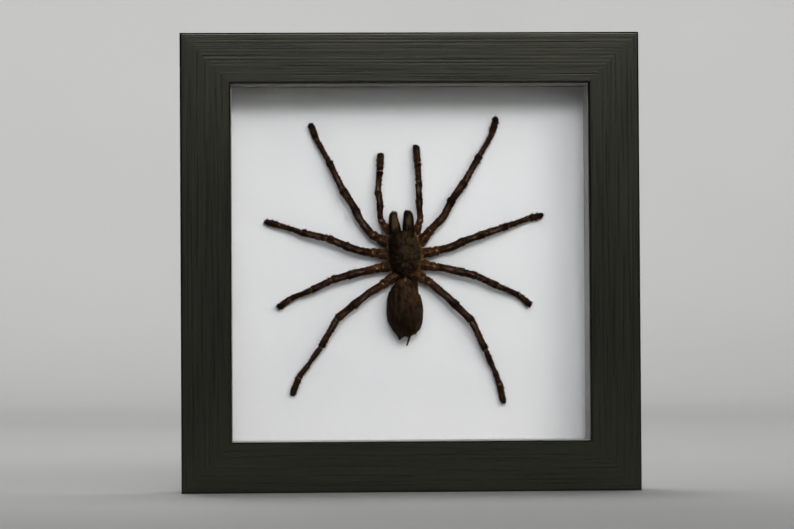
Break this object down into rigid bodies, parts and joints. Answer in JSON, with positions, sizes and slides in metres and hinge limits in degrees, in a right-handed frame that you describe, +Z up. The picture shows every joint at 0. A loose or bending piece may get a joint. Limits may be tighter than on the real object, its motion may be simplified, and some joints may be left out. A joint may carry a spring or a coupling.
{
  "type": "framed tarantula specimen",
  "caption": "Dried tarantula spread flat on a white card behind glass, in a deep black wooden box frame with grooved, mitred rails; stands or hangs.",
  "frame": {"origin": "middle of the footprint of the standing frame, on the surface that it stands on", "axes": "+Z up the frame, -Y out of the glass towards the viewer, +X to the viewer's right"},
  "size_m": [0.25, 0.04, 0.25],
  "materials": {
    "black_wood": "black stain over wood with fine lengthwise grooves, low sheen",
    "clear_glass": "clear flat float glass",
    "white_lining": "matt white paper over board",
    "white_card": "matt white card with a faint tooth",
    "brown_board": "raw brown fibreboard",
    "spring_steel": "blued spring steel",
    "brass_plate": "brass plated steel, dulled",
    "dried_shell": "dried dark brown shell plate with sparse short hair",
    "dried_skin": "dried dark brown skin, wrinkled and hairy",
    "dried_glue": "dried clear amber glue"
  },
  "bodies": {
    "root": {"frame_rail_bottom": "black_wood", "tab_bottom_1": "spring_steel", "tab_bottom_2": "spring_steel", "frame_rail_left": "black_wood", "tab_left_1": "spring_steel", "tab_left_2": "spring_steel", "frame_rail_top": "black_wood", "tab_top_1": "spring_steel", "tab_top_2": "spring_steel", "frame_rail_right": "black_wood", "tab_right_1": "spring_steel", "tab_right_2": "spring_steel", "glass_pane": "clear_glass", "spacer_top": "white_lining", "spacer_bottom": "white_lining", "spacer_left": "white_lining", "spacer_right": "white_lining", "mount_card": "white_card", "back_board": "brown_board", "hanger": "brass_plate", "hanger_nail_1": "brass_plate", "hanger_nail_2": "brass_plate", "glue_dab": "dried_glue", "cephalothorax": "dried_shell", "pedicel": "dried_skin", "abdomen": "dried_skin", "chelicera_left": "dried_shell", "chelicera_right": "dried_shell", "spinneret_long": "dried_skin", "spinneret_short": "dried_skin", "leg_1_left": "dried_skin", "leg_1_right": "dried_skin", "leg_2_left": "dried_skin", "leg_2_right": "dried_skin", "leg_3_left": "dried_skin", "leg_3_right": "dried_skin", "leg_4_left": "dried_skin", "leg_4_right": "dried_skin", "palp_left": "dried_skin", "palp_right": "dried_skin"}
  },
  "joints": []
}
